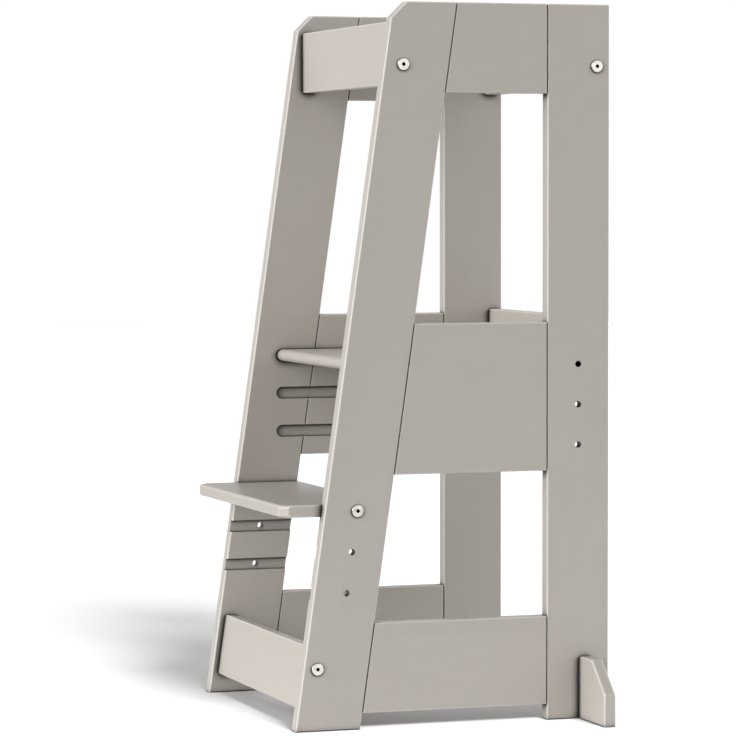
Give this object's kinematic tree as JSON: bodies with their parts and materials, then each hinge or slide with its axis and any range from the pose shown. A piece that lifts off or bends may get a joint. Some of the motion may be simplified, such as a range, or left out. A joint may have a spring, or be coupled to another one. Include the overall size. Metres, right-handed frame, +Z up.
{
  "type": "toddler kitchen helper stool",
  "caption": "Lacquered wooden kitchen helper tower for a toddler: leaning front legs, rails, a bolted step, side feet, and a standing platform with a kick board that slides in grooves.",
  "frame": {"origin": "on the floor, at the middle of the whole object's width and depth", "axes": "+Z up; -Y is the climbing side with the step, +Y the rear with the upright legs; +X is the right side for a climbing child"},
  "size_m": [0.557, 0.423, 0.885],
  "materials": {
    "grey_lacquered_board": "satin opaque lacquer in warm grey",
    "beech_dowel": "raw beech",
    "nickel_plated_bolt": "nickel plated",
    "zinc_plated_steel": "zinc plated"
  },
  "bodies": {
    "frame": {"left_front_leg": "grey_lacquered_board", "right_front_leg": "grey_lacquered_board", "left_rear_leg": "grey_lacquered_board", "right_rear_leg": "grey_lacquered_board", "left_top_board": "grey_lacquered_board", "right_top_board": "grey_lacquered_board", "left_middle_panel": "grey_lacquered_board", "right_middle_panel": "grey_lacquered_board", "left_bottom_board": "grey_lacquered_board", "right_bottom_board": "grey_lacquered_board", "left_side_dowels": "beech_dowel", "right_side_dowels": "beech_dowel", "front_top_rail": "grey_lacquered_board", "front_bottom_rail": "grey_lacquered_board", "rear_top_rail": "grey_lacquered_board", "rail_dowels": "beech_dowel", "rail_bolts": "nickel_plated_bolt", "rail_barrel_nuts": "zinc_plated_steel", "step": "grey_lacquered_board", "step_bolts": "nickel_plated_bolt", "step_barrel_nuts": "zinc_plated_steel", "left_foot": "grey_lacquered_board", "right_foot": "grey_lacquered_board", "foot_dowels": "beech_dowel", "foot_bolts": "nickel_plated_bolt", "foot_barrel_nuts": "zinc_plated_steel"},
    "platform": {"platform": "grey_lacquered_board", "platform_barrel_nuts": "zinc_plated_steel", "kick_board": "grey_lacquered_board", "kick_board_screws": "zinc_plated_steel"}
  },
  "joints": [
    {"name": "platform_slide", "type": "slide", "parent": "frame", "child": "platform", "axis": [0, 1, 0], "range_m": [0, 0.3]}
  ]
}
